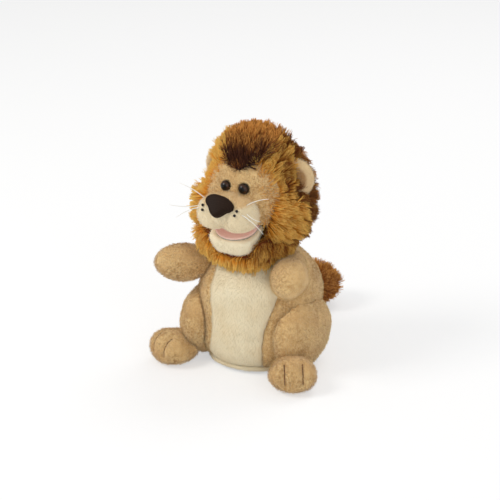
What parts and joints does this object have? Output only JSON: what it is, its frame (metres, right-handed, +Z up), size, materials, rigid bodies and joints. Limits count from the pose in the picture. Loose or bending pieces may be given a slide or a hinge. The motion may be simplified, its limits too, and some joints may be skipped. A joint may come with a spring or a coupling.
{
  "type": "lion hand puppet",
  "caption": "Soft plush lion hand puppet sitting upright, with a moving mouth, arms held out, a furry mane and a tufted tail.",
  "frame": {"origin": "on the floor, under the middle of the opening that the hand goes in through", "axes": "+Z up, the puppet looks along -Y with its tail along +Y, +X to the puppet's own left"},
  "size_m": [0.1738, 0.2497, 0.2325],
  "materials": {
    "plush_tan": "short soft pile",
    "plush_cream": "short soft pile",
    "fur_golden": "long fur, brown at the roots",
    "fur_dark": "long fur with lighter tips",
    "satin_nose": "satin",
    "mouth_cloth": "napped cloth",
    "lining": "plain weave",
    "stuffing": "loose fibre",
    "board": "matte",
    "eye_gloss": "glossy",
    "washer": "matte",
    "whisker": "smooth thread",
    "thread_brown": "twisted thread",
    "thread_dark": "embroidery"
  },
  "bodies": {
    "torso": {"body_shell": "plush_tan", "belly_bib": "plush_cream", "glove_lining": "lining", "hem_band": "plush_cream", "haunch_left": "plush_tan", "haunch_right": "plush_tan", "hip_left": "plush_tan", "hip_right": "plush_tan", "shoulder_left": "plush_tan", "shoulder_right": "plush_tan", "tail_root": "plush_tan"},
    "neck": {"neck_tube": "lining"},
    "head": {"head_stuffing": "stuffing", "finger_lining": "lining", "face_panel": "plush_tan", "muzzle": "plush_cream", "nose": "satin_nose", "upper_mouth_cloth": "mouth_cloth", "upper_mouth_board": "board", "forelock": "fur_dark", "mane_back": "fur_dark", "mane_collar": "fur_golden", "eye_left": "eye_gloss", "eye_washer_left": "washer", "ear_left": "plush_tan", "mane_left": "fur_golden", "whisker_left_1": "whisker", "whisker_left_2": "whisker", "whisker_left_3": "whisker", "whisker_dot_left_1": "thread_dark", "whisker_dot_left_2": "thread_dark", "eye_right": "eye_gloss", "eye_washer_right": "washer", "ear_right": "plush_tan", "mane_right": "fur_golden", "whisker_right_1": "whisker", "whisker_right_2": "whisker", "whisker_right_3": "whisker", "whisker_dot_right_1": "thread_dark", "whisker_dot_right_2": "thread_dark"},
    "jaw": {"lower_jaw": "plush_cream", "thumb_lining": "lining", "lower_mouth_cloth": "mouth_cloth", "lower_mouth_board": "board"},
    "arm_left": {"arm_left": "plush_tan"},
    "arm_right": {"arm_right": "plush_tan"},
    "foot_left": {"foot_left": "plush_tan", "toe_stitch_left_inner": "thread_brown", "toe_stitch_left_outer": "thread_brown"},
    "foot_right": {"foot_right": "plush_tan", "toe_stitch_right_inner": "thread_brown", "toe_stitch_right_outer": "thread_brown"},
    "tail": {"tail": "plush_tan", "tail_tuft": "fur_golden"}
  },
  "joints": [
    {"name": "head_turn", "type": "hinge", "parent": "torso", "child": "neck", "pos_m": [0, 0, 0.117], "axis": [0, 0, 1], "range_deg": [-25, 20], "deforming": ["neck_tube", "mane_collar"]},
    {"name": "head_nod", "type": "hinge", "parent": "neck", "child": "head", "pos_m": [0.00035, 0.00499, 0.125], "axis": [0.9976, -0.0698, 0], "range_deg": [-15, 12], "deforming": ["neck_tube", "mane_collar"]},
    {"name": "jaw_open", "type": "hinge", "parent": "head", "child": "jaw", "pos_m": [-0.00195, -0.02793, 0.151], "axis": [0.9976, -0.0698, 0], "range_deg": [-18, 14], "deforming": ["mane_collar"]},
    {"name": "arm_left_swing", "type": "hinge", "parent": "torso", "child": "arm_left", "pos_m": [0.0395, -0.01, 0.106], "axis": [0, 0, 1], "range_deg": [0, 50], "deforming": ["shoulder_left"]},
    {"name": "arm_right_swing", "type": "hinge", "parent": "torso", "child": "arm_right", "pos_m": [-0.041, -0.01, 0.093], "axis": [0, 0, 1], "range_deg": [-20, 28], "deforming": ["shoulder_right"]},
    {"name": "foot_left_splay", "type": "hinge", "parent": "torso", "child": "foot_left", "pos_m": [0.0562, -0.0447, 0.016], "axis": [0, 0, 1], "range_deg": [-9, 20], "deforming": ["hip_left"]},
    {"name": "foot_right_splay", "type": "hinge", "parent": "torso", "child": "foot_right", "pos_m": [-0.0612, -0.0357, 0.016], "axis": [0, 0, 1], "range_deg": [-15, 9], "deforming": ["hip_right"]},
    {"name": "tail_sweep", "type": "hinge", "parent": "torso", "child": "tail", "pos_m": [0, 0.056, 0.016], "axis": [0, 0, 1], "range_deg": [-35, 35], "deforming": ["tail_root"]}
  ]
}
